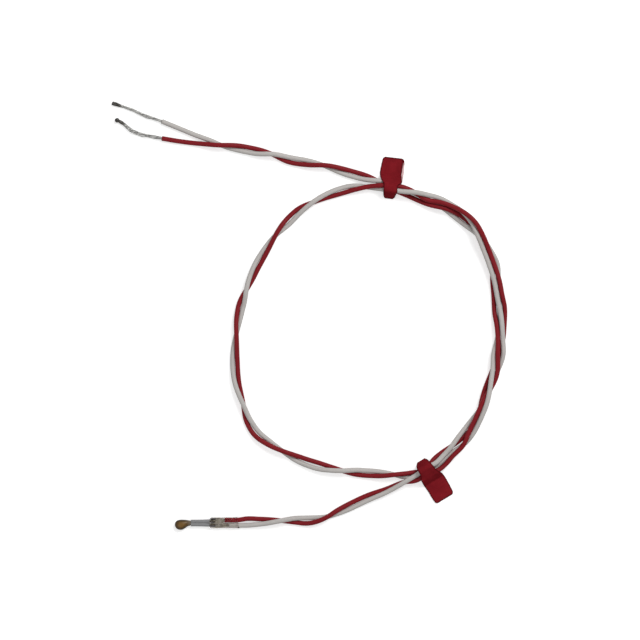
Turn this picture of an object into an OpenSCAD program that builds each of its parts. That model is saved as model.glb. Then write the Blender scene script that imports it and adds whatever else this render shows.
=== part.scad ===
// Bead thermistor on a loosely twisted pair of red and white stranded leads.
// The pair is coiled one and a half times and held by two folded tape ties.
// The origin is under the middle of the sensor head, on the surface it lies on,
// with +X along the head towards the leads and +Z up.

/* [Sensor bead] */
// Width of the resin bead across the head
bead_w = 2.56; // [2.2:0.02:2.6]
// Thickness of the resin bead, from the surface up
bead_t = 1.9; // [1.8:0.02:2.2]
// Edge of the square thermistor chip inside the bead
chip_edge = 0.9; // [0.6:0.05:1.0]
// Thickness of the chip between its two faces
chip_t = 0.44; // [0.4:0.01:0.46]

/* [Thin leads] */
// Diameter of the two tinned wires that leave the bead
lead_d = 0.3; // [0.25:0.01:0.3]
// Outer diameter of the grey sleeve on each thin lead
lead_sleeve_d = 0.84; // [0.7:0.01:0.84]
// Length of the grey sleeves
lead_sleeve_len = 4.7; // [4:0.1:4.9]

/* [Splice sleeve] */
// Width of the clear shrunk sleeve
sleeve_w = 2.84; // [2.8:0.01:2.9]
// Length of the clear shrunk sleeve
sleeve_len = 7.7; // [7.4:0.05:7.8]
// Wall of the clear shrunk sleeve
sleeve_wall = 0.12; // [0.08:0.01:0.12]

/* [Wires] */
// Outer diameter of each insulated wire
wire_d = 1.2; // [1.1:0.05:1.2]
// Diameter of one of the seven strands
strand_d = 0.2; // [0.16:0.01:0.2]
// Length in which a strand goes once round the bundle
strand_lay = 9; // [7:0.5:12]
// Diameter of the tinned tip of the white wire
white_tip_d = 0.76; // [0.7:0.02:0.84]
// Diameter of the tinned tip of the red wire
red_tip_d = 0.76; // [0.74:0.02:0.8]
// Diameter of the solder ball at the end of the red wire
red_ball_d = 0.92; // [0.86:0.02:0.92]

/* [Ties] */
// Width of the tape at the flag
tape_w = 5.4; // [4.8:0.1:5.6]
// Width of the tape where it is stretched round the wires
neck_w = 3.45; // [3:0.05:4]
// Thickness of the tape
tape_t = 0.15; // [0.12:0.01:0.18]

/* [Hidden] */

// Head: half of its length, the line that its leads follow, where the wires leave the
// clear sleeve, and the bead's own line
head_half = 8.1;
axis_y = 0.11;
exit_y = 0.2;
head_edge = exit_y + sleeve_w / 2;
bead_y = bead_w / 2 - head_edge;
bead_x = bead_w / 2 - head_half;
lead_z = bead_t / 2;
lead_y = 0.425;
neck_x = -4.1;
electrode_t = 0.03;
solder_gap = lead_y - lead_d / 2 - chip_t / 2 - electrode_t;

// Splice: where the solder, the strands and the insulation begin
wire_r = wire_d / 2;
strand_r = strand_d / 2;
sleeve_x = head_half - sleeve_len;
sleeve_z = wire_r + sleeve_wall + 0.01;
sleeve_taper = 0.35;
wire_y = sleeve_w / 2 - sleeve_wall - wire_r - 0.01;
bundle_r = 1.5 * strand_d;
splice_z = sleeve_wall + bundle_r + 0.165;
splice_x = 0.8;
splice_len = 1.4;
red_start = 4.4;
white_start = 5.5;

// Round parts of the tubes, and how closely a smooth line follows its points
tube_sides = 8;
strand_sides = 6;
soft_landing = 0.15;

// Route of the twisted pair, from the head to the place where the wires part.
// Each point is [x, y, rise above the surface, distance between the wires, turn].
// At turn 0 red is on the left hand of someone who follows the pair; at 90 white is on top.
PAIR = [
    [8.2, 0.2, 0.02, 1.38, 0], [9.7, 0.33, 0, 1.6, 0], [13.1, 0.45, 0, 1.35, 25],
    [18.2, 0.7, 0, 1.22, 90], [21.6, 0.8, 0, 1.25, 140], [25.1, 0.7, 0, 1.35, 190],
    [30.0, 1.7, 0, 1.22, 270], [32.4, 2.8, 0, 1.22, 310], [35.0, 4.0, 0, 1.22, 345],
    [40.1, 6.4, 0, 1.22, 380], [44.7, 8.2, 0, 1.22, 415], [49.1, 10.3, 0.5, 1.25, 450],
    // lower tie, then up the right side, under the later turn at first
    [52.9, 11.9, 1.66, 1.25, 520], [53.9, 12.9, 2.17, 1.24, 500], [54.9, 13.9, 1.87, 1.44, 470],
    [56.9, 15.7, 0.6, 1.46, 410],
    [58.8, 17.4, 0, 1.22, 415], [60.9, 19.2, 0, 1.23, 450], [63.2, 21.5, 0, 1.22, 500],
    [65.3, 23.9, 0, 1.25, 540], [67.4, 27.0, 0, 1.24, 600], [68.8, 30.2, 0, 1.27, 670],
    [70.4, 34.5, 0, 1.27, 720], [71.8, 38.0, 0, 1.25, 725], [73.32, 42.0, 0, 1.28, 755],
    [73.79, 45.5, 0, 1.22, 810], [73.85, 49.5, 0.6, 1.22, 840], [73.7, 53.2, 0.4, 1.5, 862],
    [72.95, 57.0, 1.2, 1.25, 900], [72.3, 60.4, 1.35, 1.24, 900], [71.0, 64.5, 1.4, 1.22, 900],
    [69.4, 68.7, 1.95, 1.22, 905], [67.9, 72.2, 2.54, 1.22, 925], [66.4, 75.0, 2.1, 1.28, 955],
    [63.7, 77.8, 1.16, 1.28, 990], [61.0, 79.4, 0.85, 1.22, 1010], [58.6, 80.45, 1.0, 1.22, 1035],
    [54.8, 81.45, 1.5, 1.22, 1105], [51.8, 82.6, 1.46, 1.22, 1170], [49.1, 83.3, 1.66, 1.22, 1225],
    // upper tie, then down the left side
    [46.1, 83.8, 1.95, 1.22, 1260], [43.8, 83.9, 1.2, 1.22, 1300], [39.8, 84.0, 0, 1.24, 1350],
    [36.6, 83.8, 0, 1.25, 1405], [32.3, 82.7, 0, 1.3, 1460], [29.1, 81.5, 0, 1.25, 1495],
    [26.4, 80.2, 0, 1.26, 1530], [23.0, 78.1, 0, 1.24, 1590], [20.2, 75.4, 0, 1.35, 1635],
    [17.1, 72.0, 0, 1.24, 1710], [14.6, 68.2, 0, 1.22, 1765], [12.5, 64.6, 0, 1.22, 1810],
    [10.9, 61.1, 0, 1.22, 1845], [9.8, 58.4, 0, 1.22, 1890], [8.4, 54.2, 0, 1.22, 1980],
    [7.7, 50.7, 0, 1.22, 2025], [7.3, 47.5, 0, 1.22, 2070], [6.9, 41.5, 0, 1.22, 2140],
    [7.3, 35.7, 0, 1.22, 2190], [9.0, 29.7, 0, 1.22, 2250], [10.3, 25.6, 0, 1.22, 2310],
    [12.3, 22.5, 0, 1.35, 2350], [15.4, 20.1, 0, 1.3, 2385], [18.6, 18.2, 0, 1.22, 2430],
    [23.7, 15.7, 0, 1.35, 2510], [28.0, 14.3, 0, 1.5, 2540], [30.8, 13.7, 0, 1.25, 2570],
    [33.6, 13.2, 0, 1.22, 2610], [38.0, 12.7, 0, 1.22, 2685], [42.8, 12.4, 0, 1.22, 2730],
    [46.6, 12.2, 0, 1.22, 2790], [49.9, 12.0, 0.05, 1.22, 2845],
    // lower tie again, then up the right side, over the first turn
    [52.9, 12.2, 0.2, 1.22, 2885], [54.4, 12.2, 0.2, 1.22, 2870], [55.8, 12.5, 0.2, 1.22, 2830],
    [58.0, 14.2, 0.1, 1.22, 2730],
    [61.2, 17.3, 0, 1.22, 2755], [63.9, 19.6, 0.1, 1.22, 2790], [66.1, 23.2, 1.2, 1.22, 2860],
    [68.3, 28.0, 2.45, 1.22, 2885], [69.2, 30.2, 2.3, 1.25, 2915], [70.4, 33.2, 1.5, 1.25, 2970],
    [71.8, 38.0, 1.35, 1.22, 3055], [71.95, 42.0, 1.0, 1.25, 3095], [72.5, 46.5, 0.1, 1.25, 3150],
    [72.58, 50.0, 0, 1.24, 3190], [72.35, 53.2, 0, 1.26, 3240], [72.15, 57.0, 0, 1.24, 3240],
    [71.95, 60.4, 0, 1.4, 3240], [71.8, 64.5, 0, 1.4, 3240], [70.1, 68.2, 0, 1.22, 3265],
    [68.1, 71.5, 0, 1.22, 3330], [66.7, 73.3, 0, 1.22, 3375], [64.8, 74.9, 0, 1.22, 3405],
    [62.6, 76.6, 0, 1.22, 3440], [59.4, 78.5, 0, 1.22, 3500], [54.8, 80.4, 0, 1.22, 3580],
    [49.1, 82.9, 0.15, 1.22, 3610],
    // upper tie again, then out to the free ends
    [46.1, 84.1, 0.2, 1.22, 3620], [43.8, 85.1, 0.2, 1.22, 3655], [42.6, 85.5, 0.1, 1.22, 3685],
    [39.1, 86.5, 0, 1.22, 3755], [34.8, 87.7, 0, 1.22, 3795], [29.1, 89.4, 0, 1.22, 3870],
    [24.8, 90.1, 0, 1.22, 3935], [20.6, 90.8, 0, 1.22, 3980], [16.2, 92.2, 0, 1.22, 4050],
    [12.3, 92.9, 0, 1.22, 4120], [8.1, 93.7, 0, 1.22, 4165], [3.6, 94.4, 0, 1.29, 4230],
    [0.3, 95.2, 0, 1.3, 4290]
];

// Each wire's own way from there to the cut edge of its insulation
RED_END = [[-3.5, 95.0, 0.6], [-7.4, 95.5, 0.6], [-11.0, 96.1, 0.6]];
WHITE_END = [[-2.7, 96.9, 0.6], [-6.9, 98.6, 0.6], [-11.3, 100.4, 0.6]];

// The stripped strands of each wire, from its insulation to its tinned tip
RED_BARE = [
    [-11.05, 96.11, 0.6], [-13.6, 96.6, 0.5], [-15.5, 96.9, 0.42], [-17.4, 97.4, 0.36],
    [-18.9, 98.1, 0.38], [-20.0, 99.0, 0.43], [-20.8, 99.7, 0.46]
];
WHITE_BARE = [
    [-11.35, 100.42, 0.6], [-13.6, 101.2, 0.5], [-14.9, 101.6, 0.44], [-16.4, 102.2, 0.4],
    [-18.0, 103.0, 0.38], [-19.5, 103.6, 0.36], [-20.7, 104.0, 0.37], [-21.7, 104.3, 0.38]
];
// How far the strands stand apart from the middle one, at the start, middle and tip
RED_SPREAD = [1.02, 1.3, 1.02];
WHITE_SPREAD = [1.02, 1.5, 1.02];
// Far end of each tinned tip
RED_TIP = [-21.9, 100.5, 0.46];
WHITE_TIP = [-23.5, 104.9, 0.38];
// Room between the ends of the strands and the solder
tip_gap = 0.05;

// Ties: middle of the wires inside, which way the flag points, and the wires' own places,
// each [distance towards the flag, height]
UPPER_TIE = [45.7, 83.95];
UPPER_TIE_TURN = 83.5;
UPPER_TIE_WIRES = [[-0.83, 0.81], [0.41, 0.81], [1.05, 1.4], [1.27, 1.9], [0.5, 2.68], [-0.77, 2.8]];
UPPER_FLAG_END = 7.3;
LOWER_TIE = [54.96, 13.1];
LOWER_TIE_TURN = -58.7;
LOWER_TIE_WIRES = [[-0.9, 0.9], [-0.7, 0.82], [1.3, 0.82], [1.05, 2.06], [0.3, 2.55], [-0.95, 3.9]];
LOWER_FLAG_END = 8.1;
// Where the tape's two sides part: the fold's end, the flag's wide part and its meeting line
fold_end = 2.8;
flag_root = 1.3;
flag_meet = 3.0;
tie_clear = 0.06;

function unit(v) = v / norm(v);

// Middle of the clear sleeve, which lies a little askew
function sleeve_y(x) = axis_y + (exit_y - axis_y) * (x - sleeve_x) / sleeve_len;

// Slope of a smooth line at point i, from its neighbours and their distances
function gap_between(p, i) = norm([p[i + 1].x - p[i].x, p[i + 1].y - p[i].y]);
function slope_at(p, i) =
    i == 0 ? (p[1] - p[0]) / gap_between(p, 0) :
    i == len(p) - 1 ? (p[i] - p[i - 1]) / gap_between(p, i - 1) :
    let(a = gap_between(p, i - 1), b = gap_between(p, i))
    ((p[i] - p[i - 1]) / a * b + (p[i + 1] - p[i]) / b * a) / (a + b);

// Point at the share t of the way from point i to the next
function smooth_at(p, i, t) =
    let(h = gap_between(p, i), t2 = t * t, t3 = t2 * t)
    p[i] * (2 * t3 - 3 * t2 + 1) + p[i + 1] * (3 * t2 - 2 * t3)
    + slope_at(p, i) * h * (t3 - 2 * t2 + t) + slope_at(p, i + 1) * h * (t3 - t2);

// The line through all points, with extra points where the pair turns quickly
function refine(p, steps) = concat(
    [for (i = [0 : len(p) - 2]) for (k = [0 : steps[i] - 1]) smooth_at(p, i, k / steps[i])],
    [p[len(p) - 1]]
);
quick_turn = 62;
function pair_steps(p) = [for (i = [0 : len(p) - 2]) abs(p[i + 1][4] - p[i][4]) > quick_turn ? 2 : 1];

function left_hand(p, i) =
    let(a = p[max(i - 1, 0)], b = p[min(i + 1, len(p) - 1)])
    unit([a.y - b.y, b.x - a.x]);

// The straight pieces between rings cut the corners of the twist, so the rings stand wider
function corner_cut(p, i) =
    let(a = p[max(i - 1, 0)][4], b = p[min(i + 1, len(p) - 1)][4])
    1 / cos((abs(p[i][4] - a) + abs(b - p[i][4])) / 4);

// Where one wire of the pair is: side is 1 for red and -1 for white
function wire_at(p, i, side) =
    let(
        half = corner_cut(p, i) * p[i][3] / 2,
        across = half * cos(p[i][4]) * side,
        up = -half * sin(p[i][4]) * side,
        middle = wire_r + p[i][2] + norm([up, soft_landing * half]),
        left = left_hand(p, i)
    )
    [p[i].x + left.x * across, p[i].y + left.y * across, middle + up];

LINE = refine(PAIR, pair_steps(PAIR));
function wire_path(side, start, end) = concat(
    [[start, sleeve_y(start) + wire_y * side, sleeve_z]],
    [for (i = [0 : len(LINE) - 1]) wire_at(LINE, i, side)],
    end
);

// A round tube along a path, closed at both ends
function heading(path, i) =
    unit(path[min(i + 1, len(path) - 1)] - path[max(i - 1, 0)]);
function ring(path, i, r, sides) =
    let(
        ahead = heading(path, i),
        across = unit(cross([0, 0, 1], ahead)),
        up = cross(ahead, across)
    )
    [for (k = [0 : sides - 1]) let(a = 360 * (k + 0.5) / sides) path[i] + r * (across * cos(a) + up * sin(a))];

module tube(path, r, sides) {
    rings = len(path);
    points = [for (i = [0 : rings - 1]) each ring(path, i, r, sides)];
    wall = [
        for (i = [0 : rings - 2]) for (k = [0 : sides - 1])
        let(a = i * sides + k, b = i * sides + (k + 1) % sides)
        [a, a + sides, b + sides, b]
    ];
    first = [for (k = [0 : sides - 1]) k];
    last = [for (k = [sides - 1 : -1 : 0]) (rings - 1) * sides + k];
    polyhedron(points, concat([first], wall, [last]));
}

// A straight rod along +X that starts at the given place
module rod(start, length, d) {
    translate(start) rotate([0, 90, 0]) cylinder(h = length, d = d, $fn = 48);
}

// One stripped end: six strands laid round a middle one
function spread_at(spread, t) =
    t < 0.5 ? spread[0] + (spread[1] - spread[0]) * sin(180 * t) :
    spread[2] + (spread[1] - spread[2]) * sin(180 * t);
function strand_path(line, spread, angle) = [
    for (i = [0 : len(line) - 1])
    let(
        t = i / (len(line) - 1),
        ahead = heading(line, i),
        across = unit(cross([0, 0, 1], ahead)),
        up = cross(ahead, across),
        a = angle - 360 * t * norm(line[len(line) - 1] - line[0]) / strand_lay,
        r = strand_d * spread_at(spread, t)
    )
    line[i] + r * (across * cos(a) + up * sin(a))
];
module bare_strands(points, spread) {
    line = refine(points, [for (i = [0 : len(points) - 2]) 2]);
    tube(line, strand_r, strand_sides);
    for (k = [0 : 5]) tube(strand_path(line, spread, 60 * k), strand_r, strand_sides);
}

// The outline of seven strands, side by side in a bundle
module strand_outline() {
    circle(d = strand_d * 1.04, $fn = 8);
    for (k = [0 : 5]) rotate(60 * k) translate([strand_d, 0]) circle(d = strand_d * 1.04, $fn = 8);
}

// A flat-sided oval across the head, w wide and h high, drawn as [y, z]
module oval(w, h, y, z) {
    hull() for (s = [-1, 1]) translate([y + s * (w - h) / 2, z]) circle(d = h, $fn = 40);
}
module oval_slice(x, length, w, h, y, z) {
    translate([x, 0, 0]) rotate([90, 0, 90]) linear_extrude(length) oval(w, h, y, z);
}

module ntc_chip() {
    color("#3a3a38")
    translate([bead_x - chip_edge / 2, axis_y - chip_t / 2, lead_z - chip_edge / 2])
    cube([chip_edge, chip_t, chip_edge]);
}

// Silver face on one side of the chip: side is 1 for the front, -1 for the back
module electrode(side) {
    face_edge = chip_edge - 0.1;
    y = axis_y + side * (chip_t + electrode_t) / 2;
    color("#c9ccd0")
    translate([bead_x - face_edge / 2, y - electrode_t / 2, lead_z - face_edge / 2])
    cube([face_edge, electrode_t, face_edge]);
}
module electrode_front() { electrode(1); }
module electrode_back() { electrode(-1); }

module lead(side) {
    color("#b9bcbd")
    rod([bead_x - 0.3, axis_y + side * lead_y, lead_z], splice_x + splice_len - bead_x + 0.2, lead_d);
}
module lead_front() { lead(1); }
module lead_back() { lead(-1); }

// Solder between the end of a thin lead and the silver face
module chip_solder_shape(side) {
    foot = 0.56;
    hull() {
        translate([bead_x - foot / 2, axis_y + side * (chip_t / 2 + electrode_t), lead_z - foot / 2])
        translate([0, side > 0 ? 0 : -0.01, 0]) cube([foot, 0.01, foot]);
        rod([bead_x - foot / 2, axis_y + side * lead_y, lead_z], foot, lead_d + 0.04);
    }
}
module chip_solder(side) {
    color("#a7a9a8")
    difference() {
        chip_solder_shape(side);
        lead(side);
    }
}
module chip_solder_front() { chip_solder(1); }
module chip_solder_back() { chip_solder(-1); }

// Teardrop of resin, flattened a little, that runs down onto the two leads
module bead_shape() {
    hull() {
        translate([bead_x, bead_y, bead_t / 2]) scale([1, 1, bead_t / bead_w]) sphere(d = bead_w, $fn = 32);
        translate([bead_x + 0.9, bead_y + 0.16, bead_t / 2]) sphere(d = bead_t * 0.94, $fn = 24);
        oval_slice(neck_x - 0.85, 0.05, 2 * lead_y + lead_d + 0.12, lead_d + 0.16, axis_y, lead_z);
    }
    hull() oval_slice(neck_x - 0.95, 0.85, 2 * lead_y + lead_d + 0.18, lead_d + 0.22, axis_y, lead_z);
}
module resin_bead() {
    color("#7a5526")
    difference() {
        bead_shape();
        ntc_chip();
        electrode(1);
        electrode(-1);
        chip_solder_shape(1);
        chip_solder_shape(-1);
        lead(1);
        lead(-1);
    }
}

module lead_sleeve(side) {
    color("#8b8c8e")
    difference() {
        rod([neck_x, axis_y + side * lead_y, lead_z], lead_sleeve_len, lead_sleeve_d);
        rod([neck_x - 1, axis_y + side * lead_y, lead_z], lead_sleeve_len + 2, lead_d + 0.06);
    }
}
module lead_sleeve_front() { lead_sleeve(1); }
module lead_sleeve_back() { lead_sleeve(-1); }

// Solder that joins a thin lead to the strands of its wire
module splice_solder(side) {
    color("#6f6c68")
    difference() {
        hull() {
            rod([splice_x, axis_y + side * wire_y, splice_z], splice_len, 2 * bundle_r + 0.1);
            rod([splice_x + 0.1, axis_y + side * lead_y, lead_z], splice_len - 0.2, lead_d + 0.12);
        }
        rod([splice_x - 1, axis_y + side * wire_y, splice_z], splice_len + 2, 2 * bundle_r + 0.01);
        lead(side);
    }
}
module splice_solder_red() { splice_solder(1); }
module splice_solder_white() { splice_solder(-1); }

// The conductor of a wire where it is bare inside the clear sleeve
module splice_strands(side, end) {
    start = splice_x - 0.03;
    length = end - start - 0.01;
    color("#b3ac9b")
    translate([start, axis_y + side * wire_y, splice_z])
    rotate([0, 90, 0])
    linear_extrude(length, twist = 360 * length / strand_lay, slices = 8) strand_outline();
}
module splice_strands_red() { splice_strands(1, red_start); }
module splice_strands_white() { splice_strands(-1, white_start); }

// Clear sleeve: a flat tube over both wires that narrows onto the grey sleeves. Its hollow
// is drawn longer than the film by the length over, and the film thicker by grow.
module sleeve_body(grow, over) {
    w = sleeve_w - 2 * sleeve_wall + 2 * grow;
    h = 2 * (sleeve_z - sleeve_wall) + 2 * grow;
    neck_w_here = 4 * lead_y + 0.06 + 2 * grow;
    neck_h = lead_sleeve_d + 0.04 + 2 * grow;
    full_x = sleeve_x + sleeve_taper;
    end_x = head_half + over;
    hull() {
        oval_slice(full_x, 0.02, w, h, sleeve_y(full_x), sleeve_z);
        oval_slice(end_x - 0.02, 0.02, w, h, sleeve_y(end_x), sleeve_z);
    }
    hull() {
        oval_slice(sleeve_x, 0.02, neck_w_here, neck_h, axis_y, lead_z);
        oval_slice(full_x, 0.02, w, h, sleeve_y(full_x), sleeve_z);
    }
}
module splice_sleeve() {
    color("#d9d6c8", 0.5)
    difference() {
        sleeve_body(sleeve_wall, 0);
        sleeve_body(0, 1);
        oval_slice(sleeve_x - 1, 1.1, 4 * lead_y + 0.06, lead_sleeve_d + 0.04, axis_y, lead_z);
    }
}

module red_wire() {
    color("#8f1c26") tube(wire_path(1, red_start, RED_END), wire_r, tube_sides);
}
module white_wire() {
    color("#e8e4e0") tube(wire_path(-1, white_start, WHITE_END), wire_r, tube_sides);
}

module red_bare_strands() {
    color("#9b9994") bare_strands(RED_BARE, RED_SPREAD);
}
module white_bare_strands() {
    color("#9b9994") bare_strands(WHITE_BARE, WHITE_SPREAD);
}

// A straight tinned tip from one place to another
module tip_rod(from, to, d) {
    flat = norm([to.x - from.x, to.y - from.y]);
    translate(from + tip_gap * unit(to - from))
    rotate([0, atan2(flat, to.z - from.z), atan2(to.y - from.y, to.x - from.x)])
    cylinder(h = norm(to - from) - tip_gap, d = d, $fn = 48);
}
module red_tinned_tip() {
    color("#4a4036") {
        tip_rod(RED_BARE[len(RED_BARE) - 1], RED_TIP, red_tip_d);
        translate([RED_TIP.x - 0.25, RED_TIP.y + 0.18, RED_TIP.z]) hull() sphere(d = red_ball_d, $fn = 32);
    }
}
module white_tinned_tip() {
    color("#4b4b48") tip_rod(WHITE_BARE[len(WHITE_BARE) - 1], WHITE_TIP, white_tip_d);
}

// Tape seen along the wires: it lies flat under them, arches over them and meets itself
// on both sides, as a short fold on one and as the flag on the other
module tape_section(wires, flag_end) {
    difference() {
        union() {
            translate([-fold_end, 0]) square([fold_end + flag_end, 2 * tape_t]);
            hull() {
                for (w = wires) translate(w) circle(r = wire_r + tie_clear + tape_t, $fn = 40);
                translate([-fold_end + 0.4, 0]) square([0.01, 2 * tape_t]);
                translate([flag_meet + 0.3, 0]) square([0.01, 2 * tape_t]);
            }
        }
        hull() {
            for (w = wires) translate(w) circle(r = wire_r + tie_clear, $fn = 40);
            translate([-fold_end + 0.75, tape_t]) square([0.01, 0.01]);
            translate([flag_meet, tape_t]) square([0.01, 0.01]);
        }
        translate([-20, -10]) square([40, 10]);
    }
}

// Tape seen from above: stretched narrow round the wires, full width at the flag
module tape_plan(flag_end, corner) {
    n = neck_w / 2;
    f = tape_w / 2;
    polygon([
        [-fold_end, -n + corner], [-fold_end + corner, -n], [flag_root - 0.5, -n], [flag_root, -f],
        [flag_end, -f], [flag_end - 0.12, f], [flag_root, f], [flag_root - 0.5, n],
        [-fold_end + 0.3, n], [-fold_end, n - 0.3]
    ]);
}

module tie(place, turn, wires, flag_end, corner) {
    color("#7c1a22")
    translate([place.x, place.y, 0])
    rotate([0, 0, turn])
    intersection() {
        rotate([90, 0, 0])
        translate([0, 0, -tape_w / 2]) linear_extrude(tape_w) tape_section(wires, flag_end);
        translate([0, 0, -1]) linear_extrude(10) tape_plan(flag_end, corner);
    }
}
module upper_tie() { tie(UPPER_TIE, UPPER_TIE_TURN, UPPER_TIE_WIRES, UPPER_FLAG_END, 0.8); }
module lower_tie() { tie(LOWER_TIE, LOWER_TIE_TURN, LOWER_TIE_WIRES, LOWER_FLAG_END, 0.6); }

ntc_chip();
electrode_front();
electrode_back();
chip_solder_front();
chip_solder_back();
resin_bead();
lead_front();
lead_back();
lead_sleeve_front();
lead_sleeve_back();
splice_solder_red();
splice_solder_white();
splice_strands_red();
splice_strands_white();
splice_sleeve();
red_wire();
white_wire();
red_bare_strands();
white_bare_strands();
red_tinned_tip();
white_tinned_tip();
upper_tie();
lower_tie();
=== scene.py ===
"""Looks of a bead thermistor on a coiled, twisted pair of leads, built round its CAD frame."""
import math
import random

import bmesh
import bpy
from bpy.props import FloatProperty, FloatVectorProperty, IntProperty, PointerProperty
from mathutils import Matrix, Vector, noise


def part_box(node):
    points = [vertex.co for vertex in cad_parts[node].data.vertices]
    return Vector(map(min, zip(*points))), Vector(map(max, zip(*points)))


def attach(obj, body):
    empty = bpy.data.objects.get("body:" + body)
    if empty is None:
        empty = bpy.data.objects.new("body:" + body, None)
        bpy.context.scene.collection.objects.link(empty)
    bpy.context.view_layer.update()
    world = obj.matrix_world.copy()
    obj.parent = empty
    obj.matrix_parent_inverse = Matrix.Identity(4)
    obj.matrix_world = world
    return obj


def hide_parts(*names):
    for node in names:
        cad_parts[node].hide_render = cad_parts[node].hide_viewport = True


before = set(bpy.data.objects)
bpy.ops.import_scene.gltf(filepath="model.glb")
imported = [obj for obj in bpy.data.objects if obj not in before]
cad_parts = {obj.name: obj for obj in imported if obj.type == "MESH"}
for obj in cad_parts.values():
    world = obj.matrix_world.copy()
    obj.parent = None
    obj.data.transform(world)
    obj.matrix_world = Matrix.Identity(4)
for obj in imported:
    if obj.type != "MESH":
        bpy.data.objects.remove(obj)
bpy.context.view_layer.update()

bl_info = {
    "name": "Bead Thermistor on Twisted Leads",
    "version": (1, 0, 0),
    "blender": (4, 5, 0),
    "location": "View3D > Sidebar > Thermistor",
    "description": "Builds a bead thermistor, its coiled leads, ties, materials and stage",
    "category": "Object",
}

MM = 0.001
BODY = "root"
RED_SIDE = 1
WHITE_SIDE = -1

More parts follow.
